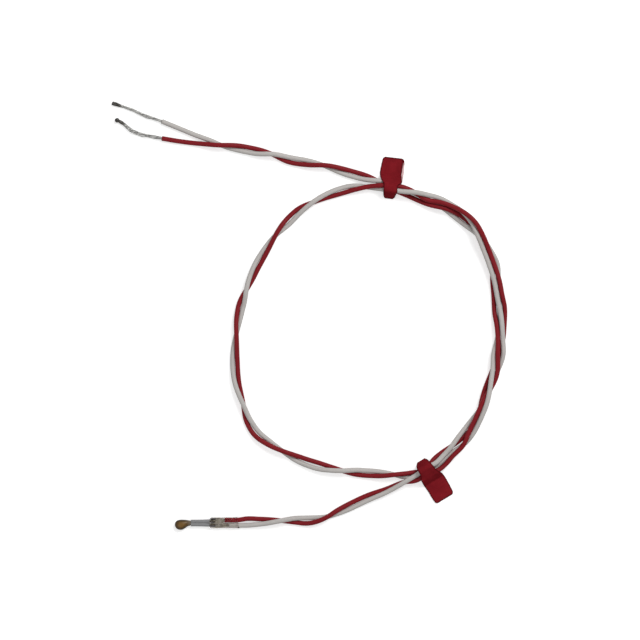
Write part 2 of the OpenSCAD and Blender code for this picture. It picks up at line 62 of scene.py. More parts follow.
# The same route as the CAD wires follow, in metres once scaled by MM.
# Each point is [x, y, rise above the surface, distance between the wires, turn in degrees].
PAIR = [
    [8.2, 0.2, 0.02, 1.38, 0], [9.7, 0.33, 0, 1.6, 0], [13.1, 0.45, 0, 1.35, 25],
    [18.2, 0.7, 0, 1.22, 90], [21.6, 0.8, 0, 1.25, 140], [25.1, 0.7, 0, 1.35, 190],
    [30.0, 1.7, 0, 1.22, 270], [32.4, 2.8, 0, 1.22, 310], [35.0, 4.0, 0, 1.22, 345],
    [40.1, 6.4, 0, 1.22, 380], [44.7, 8.2, 0, 1.22, 415], [49.1, 10.3, 0.5, 1.25, 450],
    # lower tie, then up the right side, under the later turn at first
    [52.9, 11.9, 1.66, 1.25, 520], [53.9, 12.9, 2.17, 1.24, 500], [54.9, 13.9, 1.87, 1.44, 470],
    [56.9, 15.7, 0.6, 1.46, 410],
    [58.8, 17.4, 0, 1.22, 415], [60.9, 19.2, 0, 1.23, 450], [63.2, 21.5, 0, 1.22, 500],
    [65.3, 23.9, 0, 1.25, 540], [67.4, 27.0, 0, 1.24, 600], [68.8, 30.2, 0, 1.27, 670],
    [70.4, 34.5, 0, 1.27, 720], [71.8, 38.0, 0, 1.25, 725], [73.32, 42.0, 0, 1.28, 755],
    [73.79, 45.5, 0, 1.22, 810], [73.85, 49.5, 0.6, 1.22, 840], [73.7, 53.2, 0.4, 1.5, 862],
    [72.95, 57.0, 1.2, 1.25, 900], [72.3, 60.4, 1.35, 1.24, 900], [71.0, 64.5, 1.4, 1.22, 900],
    [69.4, 68.7, 1.95, 1.22, 905], [67.9, 72.2, 2.54, 1.22, 925], [66.4, 75.0, 2.1, 1.28, 955],
    [63.7, 77.8, 1.16, 1.28, 990], [61.0, 79.4, 0.85, 1.22, 1010], [58.6, 80.45, 1.0, 1.22, 1035],
    [54.8, 81.45, 1.5, 1.22, 1105], [51.8, 82.6, 1.46, 1.22, 1170], [49.1, 83.3, 1.66, 1.22, 1225],
    # upper tie, then down the left side
    [46.1, 83.8, 1.95, 1.22, 1260], [43.8, 83.9, 1.2, 1.22, 1300], [39.8, 84.0, 0, 1.24, 1350],
    [36.6, 83.8, 0, 1.25, 1405], [32.3, 82.7, 0, 1.3, 1460], [29.1, 81.5, 0, 1.25, 1495],
    [26.4, 80.2, 0, 1.26, 1530], [23.0, 78.1, 0, 1.24, 1590], [20.2, 75.4, 0, 1.35, 1635],
    [17.1, 72.0, 0, 1.24, 1710], [14.6, 68.2, 0, 1.22, 1765], [12.5, 64.6, 0, 1.22, 1810],
    [10.9, 61.1, 0, 1.22, 1845], [9.8, 58.4, 0, 1.22, 1890], [8.4, 54.2, 0, 1.22, 1980],
    [7.7, 50.7, 0, 1.22, 2025], [7.3, 47.5, 0, 1.22, 2070], [6.9, 41.5, 0, 1.22, 2140],
    [7.3, 35.7, 0, 1.22, 2190], [9.0, 29.7, 0, 1.22, 2250], [10.3, 25.6, 0, 1.22, 2310],
    [12.3, 22.5, 0, 1.35, 2350], [15.4, 20.1, 0, 1.3, 2385], [18.6, 18.2, 0, 1.22, 2430],
    [23.7, 15.7, 0, 1.35, 2510], [28.0, 14.3, 0, 1.5, 2540], [30.8, 13.7, 0, 1.25, 2570],
    [33.6, 13.2, 0, 1.22, 2610], [38.0, 12.7, 0, 1.22, 2685], [42.8, 12.4, 0, 1.22, 2730],
    [46.6, 12.2, 0, 1.22, 2790], [49.9, 12.0, 0.05, 1.22, 2845],
    # lower tie again, then up the right side, over the first turn
    [52.9, 12.2, 0.2, 1.22, 2885], [54.4, 12.2, 0.2, 1.22, 2870], [55.8, 12.5, 0.2, 1.22, 2830],
    [58.0, 14.2, 0.1, 1.22, 2730],
    [61.2, 17.3, 0, 1.22, 2755], [63.9, 19.6, 0.1, 1.22, 2790], [66.1, 23.2, 1.2, 1.22, 2860],
    [68.3, 28.0, 2.45, 1.22, 2885], [69.2, 30.2, 2.3, 1.25, 2915], [70.4, 33.2, 1.5, 1.25, 2970],
    [71.8, 38.0, 1.35, 1.22, 3055], [71.95, 42.0, 1.0, 1.25, 3095], [72.5, 46.5, 0.1, 1.25, 3150],
    [72.58, 50.0, 0, 1.24, 3190], [72.35, 53.2, 0, 1.26, 3240], [72.15, 57.0, 0, 1.24, 3240],
    [71.95, 60.4, 0, 1.4, 3240], [71.8, 64.5, 0, 1.4, 3240], [70.1, 68.2, 0, 1.22, 3265],
    [68.1, 71.5, 0, 1.22, 3330], [66.7, 73.3, 0, 1.22, 3375], [64.8, 74.9, 0, 1.22, 3405],
    [62.6, 76.6, 0, 1.22, 3440], [59.4, 78.5, 0, 1.22, 3500], [54.8, 80.4, 0, 1.22, 3580],
    [49.1, 82.9, 0.15, 1.22, 3610],
    # upper tie again, then out to the free ends
    [46.1, 84.1, 0.2, 1.22, 3620], [43.8, 85.1, 0.2, 1.22, 3655], [42.6, 85.5, 0.1, 1.22, 3685],
    [39.1, 86.5, 0, 1.22, 3755], [34.8, 87.7, 0, 1.22, 3795], [29.1, 89.4, 0, 1.22, 3870],
    [24.8, 90.1, 0, 1.22, 3935], [20.6, 90.8, 0, 1.22, 3980], [16.2, 92.2, 0, 1.22, 4050],
    [12.3, 92.9, 0, 1.22, 4120], [8.1, 93.7, 0, 1.22, 4165], [3.6, 94.4, 0, 1.29, 4230],
    [0.3, 95.2, 0, 1.3, 4290],
]
RED_END = [[-3.5, 95.0, 0.6], [-7.4, 95.5, 0.6], [-11.3, 96.15, 0.6]]
WHITE_END = [[-2.7, 96.9, 0.6], [-6.9, 98.6, 0.6], [-11.3, 100.4, 0.6]]

# The stripped strands, from the cut insulation to the start of the tinned tip
RED_BARE = [
    [-11.05, 96.11, 0.6], [-13.6, 96.6, 0.5], [-15.5, 96.9, 0.42], [-17.4, 97.4, 0.36],
    [-18.9, 98.1, 0.38], [-20.0, 99.0, 0.43], [-20.8, 99.7, 0.46],
]
WHITE_BARE = [
    [-11.35, 100.42, 0.6], [-13.6, 101.2, 0.5], [-14.9, 101.6, 0.44], [-16.4, 102.2, 0.4],
    [-18.0, 103.0, 0.38], [-19.5, 103.6, 0.36], [-20.7, 104.0, 0.37], [-21.7, 104.3, 0.38],
]
RED_TIP = [-22.1, 100.52, 0.46]
WHITE_TIP = [-23.8, 105.0, 0.38]

# Outline of each tie as [towards the flag, distance from its middle line]: the two sides of the
# upper layer and, where it differs, the second side of the layer under it
UPPER_LEFT = [
    [-2.8, 1.05], [-2.4, 1.4], [-2.0, 1.51], [-0.35, 1.72], [0.7, 1.74], [1.15, 2.1],
    [1.6, 2.42], [2.67, 2.88], [3.5, 3.0], [4.5, 2.95], [5.8, 2.8], [7.3, 2.6],
]
UPPER_RIGHT = [
    [-2.8, 0.95], [-2.52, 1.29], [-1.2, 1.8], [0.26, 1.81], [0.7, 1.96], [1.05, 2.55],
    [1.43, 2.75], [2.4, 2.52], [3.47, 2.4], [5.37, 2.45], [7.3, 2.38],
]
UPPER_RIGHT_UNDER = [
    [-2.8, 0.95], [-2.52, 1.25], [-1.2, 1.76], [0.7, 1.9], [1.43, 2.8], [2.4, 2.92],
    [3.4, 2.97], [4.8, 2.94], [6.3, 2.88], [7.3, 2.72],
]
LOWER_LEFT = [
    [-3.0, 1.1], [-2.35, 1.57], [-1.57, 1.76], [-0.53, 1.92], [0.5, 2.05], [1.2, 2.3],
    [1.79, 2.65], [2.5, 2.92], [3.14, 3.02], [4.31, 3.02], [5.82, 2.95], [8.1, 2.8],
]
LOWER_RIGHT = [
    [-3.0, 1.1], [-2.39, 1.75], [-1.77, 1.98], [-0.3, 2.02], [0.5, 2.3], [1.03, 2.6],
    [2.67, 2.65], [4.35, 2.51], [6.2, 2.53], [8.1, 2.5],
]
# Each tie's names, middle, the way its flag points in degrees, the wires in it as [towards the
# flag, height], how far its fold and its flag reach, its sides, corner radius and unevenness
TIES = (
    (
        "upper_tape", "upper_tie", [45.7, 83.95], 83.5,
        [[-0.83, 0.81], [0.41, 0.81], [1.05, 1.4], [1.27, 1.9], [0.5, 2.68], [-0.77, 2.8]],
        (2.8, 7.45), (UPPER_LEFT, UPPER_RIGHT, UPPER_RIGHT_UNDER), 0.7, 2,
    ),
    (
        "lower_tape", "lower_tie", [54.96, 13.1], -58.7,
        [[-0.9, 0.9], [-0.7, 0.82], [1.3, 0.82], [1.05, 2.06], [0.3, 2.55], [-0.95, 3.9]],
        (3.0, 8.25), (LOWER_LEFT, LOWER_RIGHT, LOWER_RIGHT), 0.75, 5,
    ),
)
# Where the two layers of the flag meet
FLAG_MEET = 3.0

# Solder inside the clear sleeve, as opposite corners of each lump, and the sleeve's middle line
RED_LUMPS = [
    [[0.8, 0.86, 0.45], [2.15, 1.38, 1.15]],
    [[0.78, 0.12, 0.75], [1.95, 0.55, 1.25]],
]
WHITE_LUMPS = [[[0.6, -0.95, 0.45], [2.1, -0.36, 1.15]]]
SLEEVE_MIDDLE = 0.13

# The clear sleeve's wall, its width, how much further back its open end is cut on one side, and
# where its middle line starts and ends across the head
SLEEVE_WALL = 0.12
SLEEVE_W = 2.84
SLEEVE_SLANT = 0.7
AXIS_Y = 0.11
EXIT_Y = 0.2
# How far the resin runs along the leads past the bead
NECK_REACH = 0.12
# Lift that rounds the lowest part of each turn, and the room left between the two wires
SOFT_LANDING = 0.15
WIRE_ROOM = 1.03
# Strands: radius inside the joints and at the free ends, and the length of one turn
STRAND_R = 0.1
BARE_R = 0.112
STRAND_LAY = 9.0
# Tape: rows over the wires and under them, columns, width of the painted shade along the cut edges, and where
# the painted highlight on the under layer's uncovered edge stops towards the flag
TAPE_ROWS_OVER = 104
TAPE_ROWS_UNDER = 70
TAPE_COLUMNS = 26
EDGE_SHADE_WIDTH = 0.45
EDGE_HIGHLIGHT_END = 6.6

# Camera: the middle of the picture, how much it shows across, lens and sensor width
PICTURE_MIDDLE = (28.15, 50.8)
PICTURE_WIDTH = 160
LENS = 180
SENSOR_WIDTH = 36
# Stage: what the lights point at, the floor's size in metres and its depth under the wires
COIL_MIDDLE = Vector((28, 50, 0)) * MM
FLOOR_SIZE = 1.5
FLOOR_DROP = 0.02
FLOOR_GLOW = 0.55
SURROUND_LEVEL = 0.38
# Lights: name, place and size in metres, and power in watts
LIGHTS = (
    ("key_light", (0.32, 0.42, 0.6), 0.35, 3.4),
    ("fill_light", (-0.35, -0.2, 0.6), 0.5, 0.8),
)


# ---------------------------------------------------------------- sizes and colours


class ThermistorSizes(bpy.types.PropertyGroup):
    """Sizes of the pieces that Blender shapes."""

    wire_diameter: FloatProperty(
        name="Wire diameter",
        description="Outer diameter of each insulated wire",
        default=1.2 * MM,
        unit="LENGTH",
        precision=5,
    )
    wire_sides: IntProperty(
        name="Wire sides", description="Sides of each wire's tube", default=16, min=8, max=32
    )
    smooth_steps: IntProperty(
        name="Smooth steps",
        description="Rings between two points of the route",
        default=7,
        min=2,
        max=12,
    )
    tape_thickness: FloatProperty(
        name="Tape thickness",
        description="Thickness of one layer of the tie tape",
        default=0.14 * MM,
        unit="LENGTH",
        precision=5,
    )


def colour_property(name, description, default):
    return FloatVectorProperty(
        name=name, description=description, subtype="COLOR", size=3, min=0, max=1, default=default
    )


class ThermistorColours(bpy.types.PropertyGroup):
    """Colours of the finishes, linear RGB."""

    red_insulation: colour_property(
        "Red insulation", "Colour of the red wire", (0.21, 0.0125, 0.0175)
    )
    white_insulation: colour_property(
        "White insulation", "Colour of the white wire", (0.5, 0.475, 0.455)
    )
    tape: colour_property("Tape", "Colour of the tie tape", (0.2, 0.0115, 0.0165))
    resin: colour_property("Resin", "Colour of the bead", (0.115, 0.062, 0.014))
    grey_sleeve: colour_property(
        "Grey sleeve", "Colour of the sleeves on the thin leads", (0.26, 0.26, 0.265)
    )


def sizes():
    return bpy.context.scene.thermistor_sizes


def colours():
    return bpy.context.scene.thermistor_colours


# ---------------------------------------------------------------- smooth lines


def vectors(points):
    return [Vector(p) * MM for p in points]


def span(points, i):
    """Distance on the surface between two neighbouring points."""
    return math.hypot(points[i + 1][0] - points[i][0], points[i + 1][1] - points[i][1])


def slopes(points):
    """Slope of the smooth line at each point, from its neighbours and their distances."""
    found = []
    last = len(points) - 1
    for i in range(len(points)):
        if i == 0:
            found.append((points[1] - points[0]) / span(points, 0))
        elif i == last:
            found.append((points[i] - points[i - 1]) / span(points, i - 1))
        else:
            before, after = span(points, i - 1), span(points, i)
            rise_in = (points[i] - points[i - 1]) / before
            rise_out = (points[i + 1] - points[i]) / after
            found.append((rise_in * after + rise_out * before) / (before + after))
    return found


def smooth(points, steps):
    """The smooth line through the points, with steps places from each to the next."""
    ways = slopes(points)
    line = []
    for i in range(len(points) - 1):
        h = span(points, i)
        for k in range(steps):
            t = k / steps
            t2, t3 = t * t, t * t * t
            line.append(
                points[i] * (2 * t3 - 3 * t2 + 1)
                + points[i + 1] * (3 * t2 - 2 * t3)
                + ways[i] * (h * (t3 - 2 * t2 + t))
                + ways[i + 1] * (h * (t3 - t2))
            )
    line.append(points[-1].copy())
    return line


def pair_vectors():
    """The route's rows as five-part vectors, lengths in metres and turns in degrees."""
    return [Vector((x * MM, y * MM, rise * MM, apart * MM, turn)) for x, y, rise, apart, turn in PAIR]


def wire_line(side, start, end):
    """One wire of the pair from the splice to its cut end. Turn 0 has red on the left hand."""
    radius = sizes().wire_diameter / 2
    route = smooth(pair_vectors(), sizes().smooth_steps)
    line = []
    for i, (x, y, rise, apart, turn) in enumerate(route):
        back, ahead = route[max(i - 1, 0)], route[min(i + 1, len(route) - 1)]
        left = Vector((back[1] - ahead[1], ahead[0] - back[0])).normalized()
        half = apart / 2 * WIRE_ROOM
        across = half * math.cos(math.radians(turn)) * side
        up = -half * math.sin(math.radians(turn)) * side
        middle = radius + rise + math.hypot(up, SOFT_LANDING * half)
        line.append(Vector((x + left.x * across, y + left.y * across, middle + up)))
    lead_in = smooth([start, line[0], line[1]], 4)[:4]
    lead_out = smooth([line[-2], line[-1], *end], sizes().smooth_steps)
    return lead_in + line[:-1] + lead_out[sizes().smooth_steps :]


def line_length(line):
    return sum((b - a).length for a, b in zip(line, line[1:]))


# ---------------------------------------------------------------- meshes


def new_piece(name, shape, material):
    """A shown piece from a bmesh, with its material, riding on the body."""
    mesh = bpy.data.meshes.new(name)
    bmesh.ops.recalc_face_normals(shape, faces=shape.faces)
    shape.to_mesh(mesh)
    shape.free()
    for polygon in mesh.polygons:
        polygon.use_smooth = True
    mesh.materials.append(material)
    piece = bpy.data.objects.new(name, mesh)
    bpy.context.scene.collection.objects.link(piece)
    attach(piece, BODY)
    return piece


def heading(line, i):
    return (line[min(i + 1, len(line) - 1)] - line[max(i - 1, 0)]).normalized()


def cross_frame(line, i):
    """Unit vectors across and up at a place of a line that mostly lies flat."""
    ahead = heading(line, i)
    across = Vector((0, 0, 1)).cross(ahead).normalized()
    return across, ahead.cross(across)


def ring(shape, middle, across, up, radius, sides):
    """New vertices round a circle."""
    found = []
    for k in range(sides):
        angle = math.tau * k / sides
        found.append(shape.verts.new(middle + radius * (across * math.cos(angle) + up * math.sin(angle))))
    return found


def bridge(shape, first, second):
    count = len(first)
    for k in range(count):
        shape.faces.new((first[k], second[k], second[(k + 1) % count], first[(k + 1) % count]))


def skin(shape, rings):
    for first, second in zip(rings, rings[1:]):
        bridge(shape, first, second)


def closed_skin(shape, rings):
    """Rings joined one to the next, with a face on each end."""
    skin(shape, rings)
    shape.faces.new(list(reversed(rings[0])))
    shape.faces.new(rings[-1])


def hollow_skin(shape, outside, inside):
    """An outer and an inner skin, joined to each other at both open ends."""
    skin(shape, outside)
    skin(shape, inside)
    bridge(shape, outside[0], inside[0])
    bridge(shape, outside[-1], inside[-1])


def add_tube(shape, line, radii, sides):
    """Rings along a line, joined into a closed tube. radii is one number or one for each ring."""
    rings = []
    for i, place in enumerate(line):
        across, up = cross_frame(line, i)
        radius = radii if isinstance(radii, float) else radii[i]
        rings.append(ring(shape, place, across, up, radius, sides))
    closed_skin(shape, rings)
    return rings


def along(start, direction, distance):
    return start + direction * distance


def capped_line(line, radius):
    """A line and its radii, with a small bevel and a hollowed end face at each cut end."""
    first, last = -heading(line, 0), heading(line, len(line) - 1)
    bevel = 0.05 * MM
    core = 0.31 * MM
    depth = 0.18 * MM
    places = [
        along(line[0], first, bevel - depth),
        along(line[0], first, bevel),
        along(line[0], first, bevel),
        *line,
        along(line[-1], last, bevel),
        along(line[-1], last, bevel),
        along(line[-1], last, bevel - depth),
    ]
    radii = [core, core * 1.04, radius - bevel]
    radii += [radius * (1 + 0.012 * noise.noise(p * 900)) for p in line]
    radii += [radius - bevel, core * 1.04, core]
    return places, radii


def add_wire(shape, line, radius, sides):
    """An insulated wire: the insulation's skin, cut square, with a hollow for the strands."""
    places, radii = capped_line(line, radius)
    rings = []
    for i, place in enumerate(places):
        across, up = cross_frame(line, min(max(i - 3, 0), len(line) - 1))
        rings.append(ring(shape, place, across, up, radii[i], sides))
    closed_skin(shape, rings)


def strand_lines(middle, spread, wander, seed):
    """Seven strands laid round each other along a line, a little loose and uneven."""
    dice = random.Random(seed)
    lines = [middle]
    count = len(middle)
    length = line_length(middle)
    for k in range(6):
        start = math.tau * k / 6 + dice.uniform(-0.15, 0.15)
        bulge = dice.uniform(0.6, 1.0)
        line = []
        for i in range(count):
            t = i / (count - 1)
            across, up = cross_frame(middle, i)
            angle = start - math.tau * t * length / (STRAND_LAY * MM)
            loose = math.sin(math.pi * t) * bulge
            radius = 2 * BARE_R * MM * (spread[0] + (spread[1] - spread[0]) * loose)
            shake = noise.noise(Vector((k * 7.3, t * 3.1, seed))) * wander * MM * math.sin(math.pi * t)
            line.append(
                middle[i]
                + across * (radius * math.cos(angle) + shake)
                + up * (radius * math.sin(angle))
            )
        lines.append(line)
    return lines


def keep_off_floor(line, radius):
    return [Vector((p.x, p.y, max(p.z, radius))) for p in line]


# ---------------------------------------------------------------- finishes


def finish_material(name):
    """An empty node material: its tree, its surface shader and its texture coordinates."""
    material = bpy.data.materials.new(name)
    material.use_nodes = True
    tree = material.node_tree
    tree.nodes.clear()
    output = tree.nodes.new("ShaderNodeOutputMaterial")
    shader = tree.nodes.new("ShaderNodeBsdfPrincipled")
    place = tree.nodes.new("ShaderNodeTexCoord")
    tree.links.new(shader.outputs["BSDF"], output.inputs["Surface"])
    return material, tree, shader, place


def cloud(tree, place, scale, detail=3.0, roughness=0.5, stretch=None):
    """A noise texture in object space, stretched along an axis where asked."""
    texture = tree.nodes.new("ShaderNodeTexNoise")
    texture.inputs["Scale"].default_value = scale
    texture.inputs["Detail"].default_value = detail
    texture.inputs["Roughness"].default_value = roughness
    source = place.outputs["Object"]
    if stretch:
        mapping = tree.nodes.new("ShaderNodeMapping")
        mapping.inputs["Scale"].default_value = stretch
        tree.links.new(source, mapping.inputs["Vector"])
        source = mapping.outputs["Vector"]
    tree.links.new(source, texture.inputs["Vector"])
    return texture.outputs["Fac"]


def ramp(tree, fac, stops):
    """A colour ramp with stops (position, rgb)."""
    node = tree.nodes.new("ShaderNodeValToRGB")
    elements = node.color_ramp.elements
    while len(elements) < len(stops):
        elements.new(0.5)
    for element, (position, rgb) in zip(elements, stops):
        element.position = position
        element.color = (*rgb, 1)
    tree.links.new(fac, node.inputs["Fac"])
    return node.outputs["Color"]


def spread_range(tree, fac, low, high):
    """Maps 0..1 to low..high."""
    node = tree.nodes.new("ShaderNodeMapRange")
    node.inputs["From Min"].default_value = 0.3
    node.inputs["From Max"].default_value = 0.7
    node.inputs["To Min"].default_value = low
    node.inputs["To Max"].default_value = high
    tree.links.new(fac, node.inputs["Value"])
    return node.outputs["Result"]


def bump(tree, shader, height, strength, distance):
    node = tree.nodes.new("ShaderNodeBump")
    node.inputs["Strength"].default_value = strength
    node.inputs["Distance"].default_value = distance
    tree.links.new(height, node.inputs["Height"])
    tree.links.new(node.outputs["Normal"], shader.inputs["Normal"])


def multiplied(tree, first, second):
    """Two colours multiplied."""
    mix = tree.nodes.new("ShaderNodeMix")
    mix.data_type = "RGBA"
    mix.blend_type = "MULTIPLY"
    mix.inputs["Factor"].default_value = 1.0
    tree.links.new(first, mix.inputs[6])
    tree.links.new(second, mix.inputs[7])
    return mix.outputs[2]


def faded(tree, amount, colour, rgb):
    """A colour that gives way to another by an amount."""
    mix = tree.nodes.new("ShaderNodeMix")
    mix.data_type = "RGBA"
    tree.links.new(amount, mix.inputs["Factor"])
    tree.links.new(colour, mix.inputs[6])
    mix.inputs[7].default_value = (*rgb, 1)
    return mix.outputs[2]


def vertex_layer(tree, name):
    """A number that the mesh carries at each vertex."""
    layer = tree.nodes.new("ShaderNodeAttribute")
    layer.attribute_name = name
    return layer.outputs["Fac"]


def rough(tree, shader, texture, low, high):
    tree.links.new(spread_range(tree, texture, low, high), shader.inputs["Roughness"])


def tint(rgb, share):
    return tuple(max(0.0, min(1.0, c * share)) for c in rgb)


def insulation(name, rgb, roughness, depth):
    """Extruded wire insulation: a fine grain, slight handling marks and a soft sheen."""
    material, tree, shader, place = finish_material(name)
    blotch = cloud(tree, place, 260, 4, 0.6)
    colour = ramp(tree, blotch, [(0.3, tint(rgb, 1 - depth)), (0.55, rgb), (0.75, tint(rgb, 1 + depth))])
    tree.links.new(colour, shader.inputs["Base Color"])
    rough(tree, shader, cloud(tree, place, 700), roughness - 0.06, roughness + 0.08)
    bump(tree, shader, cloud(tree, place, 2200, 5, 0.6), 0.25, 0.00003)
    shader.inputs["IOR"].default_value = 1.22
    shader.inputs["Specular IOR Level"].default_value = 0.3
    return material


def resin_finish(rgb):
    """Dipped resin: glossy, with cloudy golden patches, painted shade round its sides and a faint painted
    highlight on its top.
    """
    material, tree, shader, place = finish_material("resin_glaze")
    colour = ramp(
        tree,
        cloud(tree, place, 900, 5, 0.65),
        [(0.32, tint(rgb, 0.6)), (0.5, rgb), (0.62, tint(rgb, 1.4)), (0.78, tint(rgb, 0.9))],
    )
    # Painted shade and highlight: the colour darkens as the surface turns away from straight up, and lightens
    # a little where it faces straight up
    facing = tree.nodes.new("ShaderNodeSeparateXYZ")
    tree.links.new(tree.nodes.new("ShaderNodeNewGeometry").outputs["Normal"], facing.inputs["Vector"])
    sides = ramp(
        tree,
        facing.outputs["Z"],
        [(0.4, (0.1, 0.095, 0.08)), (0.82, (0.62, 0.64, 0.66)), (0.98, (1.08, 1.06, 1.08))],
    )
    # The resin thins out over the leads, which show through it there
    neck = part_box("resin_bead")[1][0]
    spot = tree.nodes.new("ShaderNodeSeparateXYZ")
    tree.links.new(place.outputs["Object"], spot.inputs["Vector"])
    thin = tree.nodes.new("ShaderNodeMapRange")
    thin.inputs["From Min"].default_value = neck - 0.9 * MM
    thin.inputs["From Max"].default_value = neck + 0.1 * MM
    tree.links.new(spot.outputs["X"], thin.inputs["Value"])
    through = faded(tree, thin.outputs["Result"], multiplied(tree, colour, sides), (0.16, 0.13, 0.1))
    tree.links.new(through, shader.inputs["Base Color"])
    rough(tree, shader, cloud(tree, place, 1500), 0.26, 0.38)
    bump(tree, shader, cloud(tree, place, 1300, 3), 0.35, 0.00006)
    shader.inputs["Specular IOR Level"].default_value = 0.2
    return material


def metal_finish(name, dark, light, roughness, metallic=0.85, grain=1800.0, depth=0.00003):
    """Tinned or soldered metal: dull and uneven, with darker flux in places."""
    material, tree, shader, place = finish_material(name)
    colour = ramp(tree, cloud(tree, place, grain * 0.6, 5, 0.65), [(0.33, dark), (0.62, light)])
    tree.links.new(colour, shader.inputs["Base Color"])
    rough(tree, shader, cloud(tree, place, grain), roughness - 0.1, roughness + 0.12)
    shader.inputs["Metallic"].default_value = metallic
    bump(tree, shader, cloud(tree, place, grain * 1.4, 5, 0.7), 0.5, depth)
    return material


def clear_finish():
    """Clear shrunk film, slightly warm in tone and greyed as painted shade on what shows through it, with
    fine ripples.
    """
    material, tree, shader, place = finish_material("clear_film")
    # The grey of this tint darkens the wires seen through the film as painted shade, on top of the film's own
    # warm tone
    colour = ramp(tree, cloud(tree, place, 500, 3), [(0.3, (0.68, 0.66, 0.63)), (0.7, (0.78, 0.77, 0.76))])
    tree.links.new(colour, shader.inputs["Base Color"])
    rough(tree, shader, cloud(tree, place, 900), 0.08, 0.2)
    shader.inputs["Transmission Weight"].default_value = 1.0
    shader.inputs["IOR"].default_value = 1.16
    bump(tree, shader, cloud(tree, place, 800, 3, 0.5, (0.4, 1.6, 1.6)), 0.35, 0.00006)
    return material


def tape_finish(rgb):
    """Thin vinyl tape: mottled, with painted shade along its cut edges and a painted highlight where the
    under layer shows past the upper one.
    """
    material, tree, shader, place = finish_material("tie_tape")
    blotch = cloud(tree, place, 240, 5, 0.62)
    colour = ramp(tree, blotch, [(0.3, tint(rgb, 0.78)), (0.52, rgb), (0.75, tint(rgb, 1.3))])
    # Painted shade: the colour darkens towards the tape's cut edges
    edge_shade_colour = ramp(tree, vertex_layer(tree, "rim"), [(0.1, (1, 1, 1)), (1.0, (0.36, 0.36, 0.4))])
    edge_shaded_colour = multiplied(tree, colour, edge_shade_colour)
    # Painted highlight: a pale strip on the under layer where it stands out past the upper one
    pale = faded(tree, vertex_layer(tree, "glue"), edge_shaded_colour, (0.72, 0.5, 0.5))
    tree.links.new(pale, shader.inputs["Base Color"])
    rough(tree, shader, cloud(tree, place, 420), 0.5, 0.64)
    bump(tree, shader, cloud(tree, place, 480, 4, 0.55), 0.4, 0.00012)
    shader.inputs["IOR"].default_value = 1.2
    shader.inputs["Specular IOR Level"].default_value = 0.0
    return material


def ceramic_finish():
    """The chip's dark sintered oxide, grainy and matt."""
    material, tree, shader, place = finish_material("sensor_ceramic")
    colour = ramp(tree, cloud(tree, place, 3000, 4), [(0.3, (0.02, 0.02, 0.02)), (0.7, (0.06, 0.058, 0.055))])
    tree.links.new(colour, shader.inputs["Base Color"])
    rough(tree, shader, cloud(tree, place, 2400), 0.6, 0.8)
    bump(tree, shader, cloud(tree, place, 4000, 4), 0.4, 0.00002)
    return material


# Material name, dark and light colour, roughness, then where they differ from the usual: how
# metallic it is, the scale of its grain and the grain's depth
METALS = {
    "strand": ("tinned_strand", (0.17, 0.167, 0.162), (0.46, 0.455, 0.44), 0.46),
    "joint_strand": ("joint_strand", (0.15, 0.13, 0.105), (0.52, 0.48, 0.41), 0.5, 0.3),
    "lead": ("tinned_lead", (0.05, 0.035, 0.02), (0.19, 0.14, 0.09), 0.45, 0.4),
    "tip_solder": (
        "tip_solder", (0.014, 0.013, 0.011), (0.085, 0.08, 0.072), 0.24, 0.8, 1100.0, 0.00008
    ),
    "splice_solder": (
        "splice_solder", (0.04, 0.036, 0.038), (0.24, 0.225, 0.23), 0.5, 0.5, 1100.0, 0.00008
    ),
    "silver": ("fired_silver", (0.4, 0.4, 0.42), (0.7, 0.7, 0.72), 0.45),
}
# Roughness, and how strongly the colour varies
EXTRUDED = {
    "red_insulation": (0.42, 0.1),
    "white_insulation": (0.42, 0.04),
    "grey_sleeve": (0.5, 0.1),
}
FINISHES = {}


def make_finish(name):
    if name in METALS:
        return metal_finish(*METALS[name])
    if name in EXTRUDED:
        return insulation(name, tuple(getattr(colours(), name)), *EXTRUDED[name])
    makers = {
        "resin": lambda: resin_finish(tuple(colours().resin)),
        "tape": lambda: tape_finish(tuple(colours().tape)),
        "clear_film": clear_finish,
        "ceramic": ceramic_finish,
    }
    return makers[name]()


def finish(name):
    """Each finish is made once, when a piece first asks for it."""
    if name not in FINISHES:
        FINISHES[name] = make_finish(name)
    return FINISHES[name]


def dress_node(node, name):
    """Gives a CAD node its finish in place of the plain one."""
    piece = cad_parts[node]
    piece.data.materials.clear()
    piece.data.materials.append(finish(name))


# ---------------------------------------------------------------- head


def oval(shape, x, y, z, half_w, half_h, sides):
    """New vertices round an oval that stands across the head."""
    found = []
    for k in range(sides):
        angle = math.tau * k / sides
        found.append(shape.verts.new((x, y + half_w * math.cos(angle), z + half_h * math.sin(angle))))
    return found


def lofted(shape, sections, sides):
    """Closed skin through oval sections (x, y, z, half width, half height) along the head."""
    closed_skin(shape, [oval(shape, *section, sides) for section in sections])


def bead_sections():
    """The teardrop: its round nose, its far side level, its near side rising onto the leads."""
    low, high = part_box("resin_bead")
    middle_z = (high[2] + low[2]) / 2
    half_h = (high[2] - low[2]) / 2
    # Distance from the nose, near side and far side in mm, and the share of the full height
    profile = [
        (0.0, -0.45, -0.15, 0.1), (0.05, -0.68, 0.08, 0.26), (0.14, -0.92, 0.31, 0.46),
        (0.35, -1.2, 0.56, 0.66), (0.65, -1.43, 0.76, 0.84), (1.0, -1.55, 0.88, 0.96),
        (1.4, -1.61, 0.93, 1.0), (1.8, -1.58, 0.94, 1.0), (2.2, -1.43, 0.93, 0.95),
        (2.6, -1.18, 0.91, 0.86), (2.95, -0.9, 0.87, 0.73), (3.25, -0.7, 0.82, 0.6),
        (3.6, -0.58, 0.78, 0.42), (3.8, -0.54, 0.74, 0.3), (4.1, -0.52, 0.73, 0.27),
    ]
    sections = []
    for along_x, near, far, tall in profile:
        x = low[0] + along_x * MM
        if x > high[0] - 0.02 * MM:
            break
        sections.append((x, (near + far) / 2 * MM, middle_z, (far - near) / 2 * MM, half_h * tall))
    _, y, z, half_w, _ = sections[-1]
    sections.append((high[0] + NECK_REACH * MM, y, z, half_w * 0.92, half_h * 0.24))
    return sections


